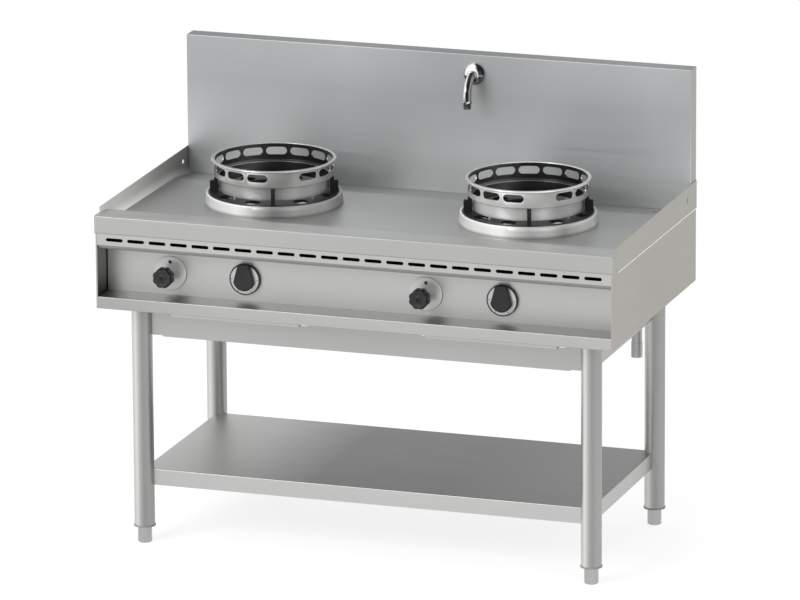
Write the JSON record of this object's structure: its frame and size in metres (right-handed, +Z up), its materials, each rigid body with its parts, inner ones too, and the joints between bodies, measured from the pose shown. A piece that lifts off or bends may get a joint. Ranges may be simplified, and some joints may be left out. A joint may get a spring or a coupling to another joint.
{
  "type": "wok range",
  "caption": "Free-standing gas wok range: sheet-steel top with splashback and water tap, ring burners, recessed controls, drip trays and a leg stand with undershelf.",
  "frame": {"origin": "on the floor under the middle of the range's bounding box", "axes": "+X to the user's right, +Y to the back, +Z up"},
  "size_m": [1.405, 0.745, 1.23],
  "materials": {
    "worktop_steel": "satin",
    "splash_steel": "satin",
    "body_steel": "satin",
    "shelf_steel": "satin",
    "leg_steel": "satin",
    "foot_steel": "satin",
    "insert_plastic": "matte",
    "fastener_steel": "satin",
    "polished_steel": "polished",
    "black_iron": "cast, black",
    "black_plastic": "satin black",
    "dial_aluminium": "satin",
    "valve_brass": "machined",
    "gas_steel": "plain",
    "tap_chrome": "polished",
    "water_copper": "drawn tube",
    "drain_steel": "satin"
  },
  "bodies": {
    "range": {"back_panel": "body_steel", "bottom_panel": "body_steel", "control_panel": "body_steel", "dial_plates": "dial_aluminium", "drain_pipe": "drain_steel", "front_apron": "body_steel", "front_left_leg": "leg_steel", "front_right_leg": "leg_steel", "gas_manifold": "gas_steel", "gas_pipes": "valve_brass", "left_burner_bowl": "polished_steel", "left_burner_collar": "polished_steel", "left_burner_head": "black_iron", "left_knob_bezel": "black_plastic", "left_pan_support": "black_iron", "left_safety_tap": "valve_brass", "left_side_apron": "body_steel", "left_side_panel": "body_steel", "leg_bolts": "fastener_steel", "leg_inserts": "insert_plastic", "leg_sockets": "leg_steel", "panel_screws": "fastener_steel", "pilot_burners": "valve_brass", "rear_left_leg": "leg_steel", "rear_right_leg": "leg_steel", "regulating_valves": "valve_brass", "right_burner_bowl": "polished_steel", "right_burner_collar": "polished_steel", "right_burner_head": "black_iron", "right_knob_bezel": "black_plastic", "right_pan_support": "black_iron", "right_safety_tap": "valve_brass", "right_side_apron": "body_steel", "right_side_panel": "body_steel", "shelf_stiffener": "shelf_steel", "sill": "body_steel", "splashback": "splash_steel", "splashback_cover": "splash_steel", "tap_aerator": "tap_chrome", "tap_rosette": "tap_chrome", "tap_spout": "tap_chrome", "tray_runners": "shelf_steel", "undershelf": "shelf_steel", "vent_strip": "body_steel", "water_pipe": "water_copper", "worktop": "worktop_steel"},
    "left_ring": {"left_wok_ring": "polished_steel"},
    "left_tray": {"left_drip_tray": "shelf_steel"},
    "left_wheel": {"left_handwheel": "black_plastic"},
    "left_plug": {"left_tap_plug": "valve_brass"},
    "left_knob": {"left_safety_knob": "black_plastic"},
    "right_ring": {"right_wok_ring": "polished_steel"},
    "right_tray": {"right_drip_tray": "shelf_steel"},
    "right_wheel": {"right_handwheel": "black_plastic"},
    "right_plug": {"right_tap_plug": "valve_brass"},
    "right_knob": {"right_safety_knob": "black_plastic"},
    "front_left_levelling_foot": {"front_left_foot": "foot_steel"},
    "front_right_levelling_foot": {"front_right_foot": "foot_steel"},
    "rear_left_levelling_foot": {"rear_left_foot": "foot_steel"},
    "rear_right_levelling_foot": {"rear_right_foot": "foot_steel"}
  },
  "joints": [
    {"name": "left_ring_lift", "type": "slide", "parent": "range", "child": "left_ring", "axis": [0, 0, 1], "range_m": [0, 0.12]},
    {"name": "left_tray_slide", "type": "slide", "parent": "range", "child": "left_tray", "axis": [0, -1, 0], "range_m": [0, 0.4]},
    {"name": "left_wheel_turn", "type": "hinge", "parent": "range", "child": "left_wheel", "pos_m": [-0.523, -0.31, 0.743], "axis": [0, -1, 0], "range_deg": [0, 270]},
    {"name": "left_plug_turn", "type": "hinge", "parent": "range", "child": "left_plug", "pos_m": [-0.316, -0.28, 0.743], "axis": [0, -1, 0], "range_deg": [0, 180]},
    {"name": "left_knob_push", "type": "slide", "parent": "left_plug", "child": "left_knob", "axis": [0, 1, 0], "range_m": [0, 0.003], "stiffness_N_per_m": 2000},
    {"name": "right_ring_lift", "type": "slide", "parent": "range", "child": "right_ring", "axis": [0, 0, 1], "range_m": [0, 0.12]},
    {"name": "right_tray_slide", "type": "slide", "parent": "range", "child": "right_tray", "axis": [0, -1, 0], "range_m": [0, 0.4]},
    {"name": "right_wheel_turn", "type": "hinge", "parent": "range", "child": "right_wheel", "pos_m": [0.177, -0.31, 0.743], "axis": [0, -1, 0], "range_deg": [0, 270]},
    {"name": "right_plug_turn", "type": "hinge", "parent": "range", "child": "right_plug", "pos_m": [0.384, -0.28, 0.743], "axis": [0, -1, 0], "range_deg": [0, 180]},
    {"name": "right_knob_push", "type": "slide", "parent": "right_plug", "child": "right_knob", "axis": [0, 1, 0], "range_m": [0, 0.003], "stiffness_N_per_m": 2000},
    {"name": "front_left_foot_adjust", "type": "slide", "parent": "range", "child": "front_left_levelling_foot", "axis": [0, 0, 1], "range_m": [-0.03, 0]},
    {"name": "front_right_foot_adjust", "type": "slide", "parent": "range", "child": "front_right_levelling_foot", "axis": [0, 0, 1], "range_m": [-0.03, 0]},
    {"name": "rear_left_foot_adjust", "type": "slide", "parent": "range", "child": "rear_left_levelling_foot", "axis": [0, 0, 1], "range_m": [-0.03, 0]},
    {"name": "rear_right_foot_adjust", "type": "slide", "parent": "range", "child": "rear_right_levelling_foot", "axis": [0, 0, 1], "range_m": [-0.03, 0]}
  ]
}
